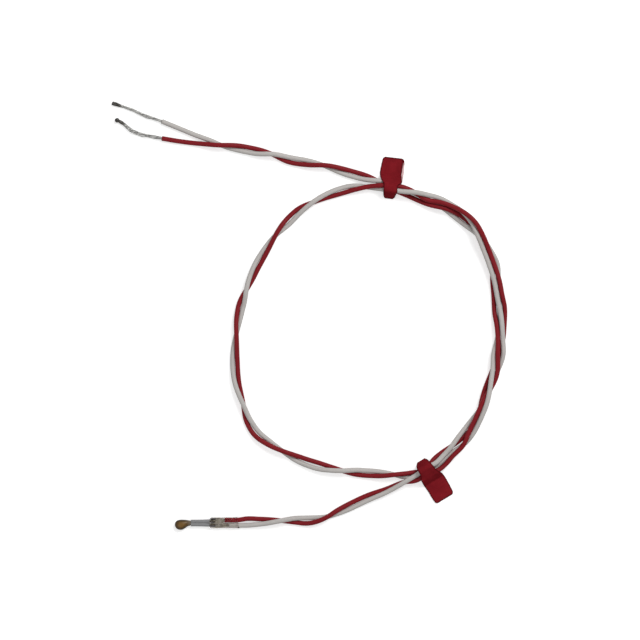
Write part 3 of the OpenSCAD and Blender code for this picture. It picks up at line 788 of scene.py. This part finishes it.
def make_bead():
    """The resin bead, a little uneven, and flat where it would sink into the surface."""
    shape = bmesh.new()
    lofted(shape, bead_sections(), 40)
    low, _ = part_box("resin_bead")
    middle_z = 0.95 * MM
    for v in shape.verts:
        bulge = noise.noise(v.co * 900) * 0.03 * MM
        v.co += Vector((0, v.co.y, v.co.z - middle_z)).normalized() * bulge
        v.co.z = max(v.co.z, low[2])
    piece = new_piece("glazed_bead", shape, finish("resin"))
    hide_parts("resin_bead")


def make_lead_sleeve(side, end):
    """A soft grey sleeve, a little wider where the clear sleeve presses on it."""
    node = f"lead_sleeve_{end}"
    low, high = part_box(node)
    middle_y, middle_z = (low[1] + high[1]) / 2, (low[2] + high[2]) / 2
    outer = (high[2] - low[2]) / 2
    bore = 0.19 * MM
    # Share of the length, of the radius, and how far the sleeve leans away from its neighbour
    profile = [
        (0.0, 0.93, 0.0), (0.01, 0.97, 0.0), (0.3, 0.97, 0.0), (0.6, 1.0, 0.01), (0.85, 1.06, 0.03),
        (0.95, 1.08, 0.04), (1.0, 1.04, 0.03),
    ]
    shape = bmesh.new()
    skins = ([], [])
    for hollow in (0, 1):
        for share, full, lean in profile:
            x = low[0] + (high[0] - low[0]) * share
            y = middle_y + side * lean * MM
            radius = bore if hollow else outer * full
            skins[hollow].append(oval(shape, x, y, middle_z, radius, radius, 24))
    hollow_skin(shape, *skins)
    piece = new_piece(f"soft_sleeve_{end}", shape, finish("grey_sleeve"))
    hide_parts(node)


def sleeve_sections(inner):
    """The clear sleeve's outside (0) or inside (1), its wall thinner towards the wires."""
    low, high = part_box("splice_sleeve")
    half_w, half_h = SLEEVE_W / 2 * MM, (high[2] - low[2]) / 2
    # Share of the length, of the width and of the height, and how far the middle stands above its own
    profile = [
        (0.0, 0.64, 0.66, 0.21), (0.015, 0.66, 0.68, 0.2), (0.035, 0.86, 0.86, 0.1),
        (0.06, 0.97, 0.97, 0.02), (0.12, 1.0, 1.0, 0), (0.2, 0.99, 0.98, 0), (0.3, 0.97, 0.94, 0),
        (0.42, 0.96, 0.93, 0), (0.5, 0.975, 0.96, 0), (0.56, 0.99, 0.99, 0), (0.66, 0.985, 1.0, 0),
        (0.8, 0.99, 1.0, 0), (0.92, 0.995, 1.0, 0), (1.0, 1.0, 1.0, 0),
    ]
    sections = []
    for share, wide, tall, lift in profile:
        wall = inner * SLEEVE_WALL * (0.8 - 0.45 * share) * MM
        sections.append(
            (
                low[0] + (high[0] - low[0]) * share,
                (AXIS_Y + (EXIT_Y - AXIS_Y) * share) * MM,
                low[2] + half_h * (1 + lift),
                half_w * wide - wall,
                half_h * tall * (1 - 0.2 * lift) - wall,
            )
        )
    return sections


def make_clear_sleeve():
    """A thin film with both ends open, the one over the wires cut a little slanting."""
    shape = bmesh.new()
    sides = 48
    low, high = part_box("splice_sleeve")
    slant_start = low[0] + 0.8 * (high[0] - low[0])
    skins = ([], [])
    for inner in (0, 1):
        for x, y, z, half_w, half_h in sleeve_sections(inner):
            places = []
            for k in range(sides):
                angle = math.tau * k / sides
                c, s = math.cos(angle), math.sin(angle)
                flat = math.copysign((half_w - half_h) * min(1, abs(c) * 3), c)
                slant = max(0, (x - slant_start) / (high[0] - slant_start)) * (0.5 + 0.5 * c)
                places.append((x - slant * SLEEVE_SLANT * MM, y + flat + half_h * c, z + half_h * s))
            skins[inner].append([shape.verts.new(place) for place in places])
    hollow_skin(shape, *skins)
    piece = new_piece("clear_sleeve", shape, finish("clear_film"))
    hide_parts("splice_sleeve")


def blob(shape, low, high, seed):
    """A lump of solder between two corners, blunt at both ends."""
    half = (high - low) / 2
    middle = (high + low) / 2
    # Share of the length and of the thickness
    profile = [
        (0, 0.45), (0.06, 0.74), (0.18, 0.93), (0.4, 1.0), (0.65, 0.97), (0.84, 0.86), (0.95, 0.66),
        (1.0, 0.4),
    ]
    sections = []
    for share, fullness in profile:
        x = low.x + (high.x - low.x) * share
        sections.append((x, middle.y, middle.z, half.y * fullness, half.z * fullness))
    before = len(shape.verts)
    lofted(shape, sections, 18)
    shape.verts.ensure_lookup_table()
    for v in shape.verts[before:]:
        wobble = 0.14 * noise.noise(v.co * 1900 + Vector((seed, 0, 0)))
        v.co += Vector((0, v.co.y - middle.y, v.co.z - middle.z)) * wobble


def make_splice(side, colour, lumps):
    """The dark solder and the splayed strands of one joint under the clear sleeve."""
    solder_node, strand_node = f"splice_solder_{colour}", f"splice_strands_{colour}"
    low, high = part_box(strand_node)
    dice = random.Random(20 + side)
    wire_y = SLEEVE_MIDDLE * MM + side * (high[1] - low[1]) * 0.97
    wire_z = (low[2] + high[2]) / 2
    # Share of the length, and of how far the strands spread out and rise there
    profile = [(0.0, 0.55, 0.5), (0.3, 1.0, 0.75), (0.65, 0.85, 1.0), (1.0, 0.5, 1.0)]
    shape = bmesh.new()
    for k in range(7):
        share = (k - 3) / 3
        points = []
        for t, splay, lift in profile:
            y = wire_y + share * splay * 0.62 * MM + dice.uniform(-0.04, 0.04) * MM
            z = wire_z + (0.16 * (1 - share * share) * lift + dice.uniform(-0.06, 0.12)) * MM
            points.append(Vector((low[0] + (high[0] - low[0]) * t, y, z)))
        add_tube(shape, smooth(points, 6), STRAND_R * MM, 8)
    strands = new_piece(f"joint_strands_{colour}", shape, finish("joint_strand"))
    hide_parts(strand_node)

    shape = bmesh.new()
    for i, (start, end) in enumerate(lumps):
        blob(shape, Vector(start) * MM, Vector(end) * MM, i * 3.1 + side)
    lump = new_piece(f"joint_solder_{colour}", shape, finish("splice_solder"))
    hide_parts(solder_node)


# ---------------------------------------------------------------- wires


def make_wire(side, colour, end):
    """One insulated wire, and the line that it follows."""
    low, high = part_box(f"splice_strands_{colour}")
    radius = sizes().wire_diameter / 2
    across = SLEEVE_W / 2 * MM - SLEEVE_WALL * MM - radius
    start = Vector((high[0], SLEEVE_MIDDLE * MM + side * across, radius + (SLEEVE_WALL + 0.01) * MM))
    line = wire_line(side, start, vectors(end))
    shape = bmesh.new()
    add_wire(shape, line, radius, sizes().wire_sides)
    piece = new_piece(
        f"{colour}_insulation", shape, finish(f"{colour}_insulation")
    )
    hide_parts(f"{colour}_wire")
    return piece, line


def make_bare_strands(colour, points, spread, wander, stray, seed):
    """The stripped strands of one free end, one of them standing off the others a third along."""
    middle = smooth(vectors(points), 5)
    shape = bmesh.new()
    lines = strand_lines(middle, spread, wander, seed)
    loose = lines[3]
    for i in range(len(loose)):
        t = i / (len(loose) - 1)
        across, up = cross_frame(middle, i)
        swell = math.exp(-(((t - 0.34) / 0.13) ** 2)) * stray * MM
        loose[i] += across * swell + up * abs(swell) * 0.35
    for line in lines:
        add_tube(shape, keep_off_floor(line, BARE_R * MM), BARE_R * MM, 8)
    piece = new_piece(f"{colour}_strands", shape, finish("strand"))
    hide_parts(f"{colour}_bare_strands")
    return piece


def make_tip(colour, start, tip, radius, ball):
    """A tinned end: solder ribbed by the strands in it, with a ball at its tip where asked."""
    a, b = Vector(start) * MM, Vector(tip) * MM
    way = (b - a).normalized()
    # How far the solder has run up the strands
    back = 0.8 * MM
    steps = 26
    length = (b - a).length + back
    line, radii = [], []
    for i in range(steps + 1):
        t = i / steps
        line.append(a - way * back + way * (length * t))
        swell = min(1.0, t * 1.7)
        radii.append(radius * MM * (0.55 + 0.45 * swell) * (1.0 if t < 0.97 else 0.86))
    shape = bmesh.new()
    sides = 20
    for i, round_line in enumerate(add_tube(shape, line, radii, sides)):
        for k, v in enumerate(round_line):
            rib = 0.06 * math.cos(6 * math.tau * k / sides - i * 0.35)
            lump = 0.12 * noise.noise(v.co * 1700)
            v.co = line[i] + (v.co - line[i]) * (1 + rib + lump)
            v.co.z = max(v.co.z, 0)
    if ball:
        _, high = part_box(f"{colour}_tinned_tip")
        r = high[2] / 2 * 1.28
        centre = Vector((b.x - 0.45 * MM, b.y + 0.16 * MM, r))
        sphere = bmesh.ops.create_uvsphere(shape, u_segments=28, v_segments=18, radius=r)
        for v in sphere["verts"]:
            v.co *= 1 + 0.05 * noise.noise(v.co * 1500)
            v.co += centre
            v.co.z = max(v.co.z, 0)
    piece = new_piece(f"{colour}_tip", shape, finish("tip_solder"))
    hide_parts(f"{colour}_tinned_tip")
    return piece


# ---------------------------------------------------------------- ties


def hull_2d(points):
    """Convex outline of the points, counter-clockwise."""
    points = sorted(set(points))

    def half(ordered):
        chain = []
        for p in ordered:
            while len(chain) > 1 and (
                (chain[-1][0] - chain[-2][0]) * (p[1] - chain[-2][1])
                - (chain[-1][1] - chain[-2][1]) * (p[0] - chain[-2][0])
            ) <= 0:
                chain.pop()
            chain.append(p)
        return chain[:-1]

    return half(points) + half(reversed(points))


def arch(wires, radius, from_u, to_u, base):
    """The tape's line over the wires, from one side to the other, as (u, z)."""
    sides = 48
    around = [(from_u, base), (to_u, base)]
    for u, z in wires:
        for k in range(sides):
            angle = math.tau * k / sides
            around.append((round(u + radius * math.cos(angle), 5), round(z + radius * math.sin(angle), 5)))
    outline = hull_2d([(u, z) for u, z in around if z >= base - 1e-6])
    start = outline.index((to_u, base))
    outline = outline[start:] + outline[:start]
    stop = outline.index((from_u, base))
    return outline[: stop + 1]


def resample(line, count):
    """The same open line with evenly spaced places."""
    lengths = [0.0]
    for a, b in zip(line, line[1:]):
        lengths.append(lengths[-1] + math.dist(a, b))
    out = []
    j = 0
    for i in range(count):
        target = lengths[-1] * i / (count - 1)
        while j < len(lengths) - 2 and lengths[j + 1] < target:
            j += 1
        t = (target - lengths[j]) / max(1e-9, lengths[j + 1] - lengths[j])
        out.append(tuple(p + (q - p) * t for p, q in zip(line[j], line[j + 1])))
    return out


def side_at(side, u):
    """Distance of a tie's edge from its middle line, at a distance towards the flag."""
    for (u0, v0), (u1, v1) in zip(side, side[1:]):
        if u <= u1:
            return v0 + (v1 - v0) * max(0.0, u - u0) / (u1 - u0)
    return side[-1][1]


def rounded(u, ends, corner):
    """How much an edge draws in near both ends, so that the corners are round."""
    near = corner - min(u - ends[0], ends[1] - u, corner)
    return corner - math.sqrt(max(0.0, corner * corner - near * near))


def make_tie(name, node, place, turn, wires, ends, sides, corner, seed):
    """Folded tape: under the wires, over them, and stuck to itself at the fold and the flag.

    sides are the edges of the upper layer, on the left and right of the way to the flag, and
    the right edge of the layer under it.
    """
    t = sizes().tape_thickness / MM
    wire_r = sizes().wire_diameter / MM / 2
    fold_end, flag_end = ends
    over = arch(wires, wire_r + 0.06 + t / 2, -fold_end + 0.35, FLAG_MEET, 1.5 * t)
    top = resample([(flag_end, 1.5 * t)] + over + [(-fold_end + 0.08, 1.5 * t)], TAPE_ROWS_OVER)
    under = resample([(-fold_end + 0.08, 0.5 * t), (flag_end + 0.04, 0.5 * t)], TAPE_ROWS_UNDER)
    c, s = math.cos(math.radians(turn)), math.sin(math.radians(turn))
    shape = bmesh.new()
    rim = shape.verts.layers.float.new("rim")
    glue = shape.verts.layers.float.new("glue")
    grid = []
    for i, (u, z) in enumerate(top + [(-fold_end, t)] + under):
        on_top = i < len(top)
        draw_in = rounded(u, (-fold_end - 9, flag_end + 0.05), corner)
        left = side_at(sides[0], u) - draw_in
        right = side_at(sides[1 if on_top else 2], u) - draw_in
        row = []
        for k in range(TAPE_COLUMNS + 1):
            share = 2 * k / TAPE_COLUMNS - 1
            v = share * (left if share > 0 else right)
            inside = min(left - v, v + right, flag_end - u, u + fold_end + 0.15)
            ripple = noise.noise(Vector((u * 0.8, v * 0.8, seed)))
            edge = 0.05 * noise.noise(Vector((u * 1.1, seed * 3.0, share * 2)))
            droop = 0.05 * max(0.0, 1 - inside / 0.4) if on_top else 0.0
            flat = 0.07 * max(0.0, ripple + 0.2) + 0.05 - droop if on_top else 0.0
            x, y = u + edge * 0.4, v + edge
            vert = shape.verts.new(
                Vector((place[0] + x * c - y * s, place[1] + x * s + y * c, z + flat)) * MM
            )
            # How strongly the painted edge shade darkens this vertex
            vert[rim] = max(0.0, 1 - inside / EDGE_SHADE_WIDTH)
            # How strongly the painted highlight lightens this vertex, where the under layer stands out past
            # the upper one
            bare = 0.0 if on_top else max(0.0, -v - side_at(sides[1], u)) * max(0.0, left - v)
            vert[glue] = min(1.0, bare * 2) * min(1.0, max(0.0, EDGE_HIGHLIGHT_END - u))
            row.append(vert)
        grid.append(row)
    for one, other in zip(grid, grid[1:]):
        for k in range(TAPE_COLUMNS):
            shape.faces.new((one[k], one[k + 1], other[k + 1], other[k]))
    piece = new_piece(name, shape, finish("tape"))
    solid = piece.modifiers.new("thickness", "SOLIDIFY")
    solid.thickness = sizes().tape_thickness * 0.85
    solid.offset = 0.0
    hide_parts(node)
    return piece


# ---------------------------------------------------------------- operators


class THERMISTOR_OT_camera(bpy.types.Operator):
    """Camera straight above the coil, at the photograph's frame"""

    bl_idname = "thermistor.camera"
    bl_label = "Camera"

    def execute(self, context):
        camera = bpy.data.cameras.new("overhead_camera")
        camera.sensor_width = SENSOR_WIDTH
        camera.lens = LENS
        camera.clip_start = 0.01
        camera.clip_end = 10
        view = bpy.data.objects.new("overhead_camera", camera)
        x, y = PICTURE_MIDDLE
        view.location = Vector((x, y, LENS / SENSOR_WIDTH * PICTURE_WIDTH)) * MM
        context.scene.collection.objects.link(view)
        context.scene.camera = view
        return {"FINISHED"}


class THERMISTOR_OT_wires(bpy.types.Operator):
    """Both insulated wires with their bare strands, tips and ties"""

    bl_idname = "thermistor.wires"
    bl_label = "Leads and Ties"

    def execute(self, context):
        red, red_line = make_wire(RED_SIDE, "red", RED_END)
        white, white_line = make_wire(WHITE_SIDE, "white", WHITE_END)
        red_strands = make_bare_strands("red", RED_BARE, (1.3, 2.0), 0.1, -0.6, 3)
        white_strands = make_bare_strands("white", WHITE_BARE, (1.04, 1.32), 0.12, 0.2, 8)
        red_tip = make_tip("red", RED_BARE[-1], RED_TIP, 0.42, True)
        white_tip = make_tip("white", WHITE_BARE[-1], WHITE_TIP, 0.48, False)
        upper, lower = [make_tie(*tie) for tie in TIES]
        return {"FINISHED"}


class THERMISTOR_OT_head(bpy.types.Operator):
    """Bead, thin leads, sleeves and the splice under its clear sleeve"""

    bl_idname = "thermistor.head"
    bl_label = "Sensor Head"

    def execute(self, context):
        make_bead()
        make_splice(RED_SIDE, "red", RED_LUMPS)
        make_splice(WHITE_SIDE, "white", WHITE_LUMPS)
        make_lead_sleeve(1, "front")
        make_lead_sleeve(-1, "back")
        make_clear_sleeve()
        for node, name in (
            ("ntc_chip", "ceramic"),
            ("electrode_front", "silver"),
            ("electrode_back", "silver"),
            ("chip_solder_front", "splice_solder"),
            ("chip_solder_back", "splice_solder"),
            ("lead_front", "lead"),
            ("lead_back", "lead"),
        ):
            dress_node(node, name)
        return {"FINISHED"}


def seen_directly(tree):
    """1 for camera, glossy and transmission rays, and 0 for the light that falls on things."""
    path = tree.nodes.new("ShaderNodeLightPath")
    first = tree.nodes.new("ShaderNodeMath")
    first.operation = "MAXIMUM"
    tree.links.new(path.outputs["Is Camera Ray"], first.inputs[0])
    tree.links.new(path.outputs["Is Glossy Ray"], first.inputs[1])
    second = tree.nodes.new("ShaderNodeMath")
    second.operation = "MAXIMUM"
    tree.links.new(first.outputs[0], second.inputs[0])
    tree.links.new(path.outputs["Is Transmission Ray"], second.inputs[1])
    return second.outputs[0]


class THERMISTOR_OT_stage(bpy.types.Operator):
    """Pale floor, soft light and a white surround"""

    bl_idname = "thermistor.stage"
    bl_label = "Stage"

    def execute(self, context):
        floor_mesh = bpy.data.meshes.new("floor")
        shape = bmesh.new()
        bmesh.ops.create_grid(shape, x_segments=1, y_segments=1, size=FLOOR_SIZE)
        shape.to_mesh(floor_mesh)
        shape.free()
        floor = bpy.data.objects.new("floor", floor_mesh)
        context.scene.collection.objects.link(floor)
        floor.location = COIL_MIDDLE - Vector((0, 0, FLOOR_DROP * MM))

        material = bpy.data.materials.new("pale_floor")
        material.use_nodes = True
        tree = material.node_tree
        shader = tree.nodes["Principled BSDF"]
        shader.inputs["Base Color"].default_value = (0.72, 0.72, 0.72, 1)
        shader.inputs["Roughness"].default_value = 0.9
        shader.inputs["Specular IOR Level"].default_value = 0.1
        shader.inputs["Emission Color"].default_value = (1, 1, 1, 1)
        scale = tree.nodes.new("ShaderNodeMath")
        scale.operation = "MULTIPLY"
        scale.inputs[1].default_value = FLOOR_GLOW
        tree.links.new(seen_directly(tree), scale.inputs[0])
        tree.links.new(scale.outputs[0], shader.inputs["Emission Strength"])
        floor_mesh.materials.append(material)

        world = bpy.data.worlds.new("white_surround")
        context.scene.world = world
        world.use_nodes = True
        tree = world.node_tree
        background = tree.nodes["Background"]
        background.inputs["Color"].default_value = (1, 1, 1, 1)
        level = tree.nodes.new("ShaderNodeMapRange")
        level.inputs["To Min"].default_value = SURROUND_LEVEL
        level.inputs["To Max"].default_value = 1.0
        tree.links.new(seen_directly(tree), level.inputs["Value"])
        tree.links.new(level.outputs["Result"], background.inputs["Strength"])

        for name, place, size, watts in LIGHTS:
            lamp = bpy.data.lights.new(name, "AREA")
            lamp.shape = "DISK"
            lamp.size = size
            lamp.energy = watts
            holder = bpy.data.objects.new(name, lamp)
            context.scene.collection.objects.link(holder)
            holder.location = place
            aim = COIL_MIDDLE - Vector(place)
            holder.rotation_euler = aim.to_track_quat("-Z", "Y").to_euler()

        context.scene.view_settings.view_transform = "Standard"
        return {"FINISHED"}


class THERMISTOR_PT_panel(bpy.types.Panel):
    """Lists the steps and the sizes and colours"""

    bl_label = "Thermistor"
    bl_idname = "THERMISTOR_PT_panel"
    bl_space_type = "VIEW_3D"
    bl_region_type = "UI"
    bl_category = "Thermistor"

    def draw(self, context):
        layout = self.layout
        for group in (context.scene.thermistor_sizes, context.scene.thermistor_colours):
            box = layout.box()
            for name in group.bl_rna.properties.keys():
                if name not in {"rna_type", "name"}:
                    box.prop(group, name)
        for operator in STEPS:
            layout.operator(operator.bl_idname)


STEPS = (
    THERMISTOR_OT_camera,
    THERMISTOR_OT_wires,
    THERMISTOR_OT_head,
    THERMISTOR_OT_stage,
)
CLASSES = (ThermistorSizes, ThermistorColours, *STEPS, THERMISTOR_PT_panel)


def register():
    for each in CLASSES:
        bpy.utils.register_class(each)
    bpy.types.Scene.thermistor_sizes = PointerProperty(type=ThermistorSizes)
    bpy.types.Scene.thermistor_colours = PointerProperty(type=ThermistorColours)


def unregister():
    del bpy.types.Scene.thermistor_colours
    del bpy.types.Scene.thermistor_sizes
    for each in reversed(CLASSES):
        bpy.utils.unregister_class(each)


def main():
    register()
    bpy.ops.thermistor.camera()
    bpy.ops.thermistor.wires()
    bpy.ops.thermistor.head()
    bpy.ops.thermistor.stage()


if __name__ == "__main__":
    main()
